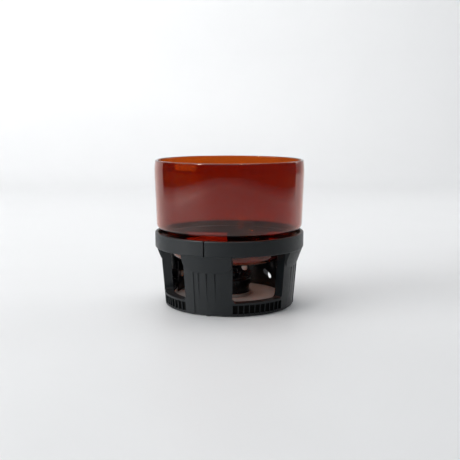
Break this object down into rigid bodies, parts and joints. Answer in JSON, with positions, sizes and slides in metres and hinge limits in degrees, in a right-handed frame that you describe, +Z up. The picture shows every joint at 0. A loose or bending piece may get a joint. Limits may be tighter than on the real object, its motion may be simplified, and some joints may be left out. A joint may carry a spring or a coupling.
{
  "type": "alcohol burner warmer with glass bowl",
  "caption": "Amber glass bowl resting in a moulded black four-pillar stand with a band, a wind shield and a small spirit burner with a turning regulator.",
  "frame": {"origin": "on the table, at the stand's vertical axis, which is the centre of the overall box's bottom", "axes": "+Z up along the stand's axis; -Y is the front, with the first pillar a little to the left of it"},
  "size_m": [0.1404, 0.1402, 0.136],
  "materials": {
    "amber_glass": "clear thin-walled amber glass, polished",
    "black_plastic": "satin moulded thermoset",
    "black_enamel": "gloss black stove enamel on sheet steel",
    "tray_metal": "polished sheet steel",
    "screw_steel": "bright",
    "gauze_steel": "woven wire and plain sheet",
    "fuel_wadding": "matted wadding",
    "black_rubber": "matte"
  },
  "bodies": {
    "stand": {"stand_frame": "black_plastic", "retaining_band": "black_plastic", "base_plate": "black_plastic", "base_screws": "screw_steel", "reflector_tray": "tray_metal", "tray_rivets": "screw_steel", "burner_locator": "screw_steel", "wind_shield": "black_enamel", "shield_screws": "screw_steel", "seat_pad_front": "black_rubber", "seat_pad_right": "black_rubber", "seat_pad_rear": "black_rubber", "seat_pad_left": "black_rubber", "foot_front": "black_rubber", "foot_right": "black_rubber", "foot_rear": "black_rubber", "foot_left": "black_rubber"},
    "bowl": {"glass_bowl": "amber_glass"},
    "burner": {"burner_cup": "black_enamel", "fuel_pad": "fuel_wadding", "wick_gauze": "gauze_steel", "gauze_ring": "gauze_steel", "burner_cap": "black_enamel", "collar": "black_enamel"},
    "regulator": {"regulator_ring": "black_enamel", "regulator_grip": "black_plastic"}
  },
  "joints": [
    {"name": "bowl_lift", "type": "slide", "parent": "stand", "child": "bowl", "axis": [0, 0, 1], "range_m": [0, 0.075]},
    {"name": "burner_lift", "type": "slide", "parent": "stand", "child": "burner", "axis": [0, 0, 1], "range_m": [0, 0.008]},
    {"name": "regulator_turn", "type": "hinge", "parent": "burner", "child": "regulator", "pos_m": [0, 0, 0.0245], "axis": [0, 0, 1], "range_deg": [0, 15]}
  ]
}
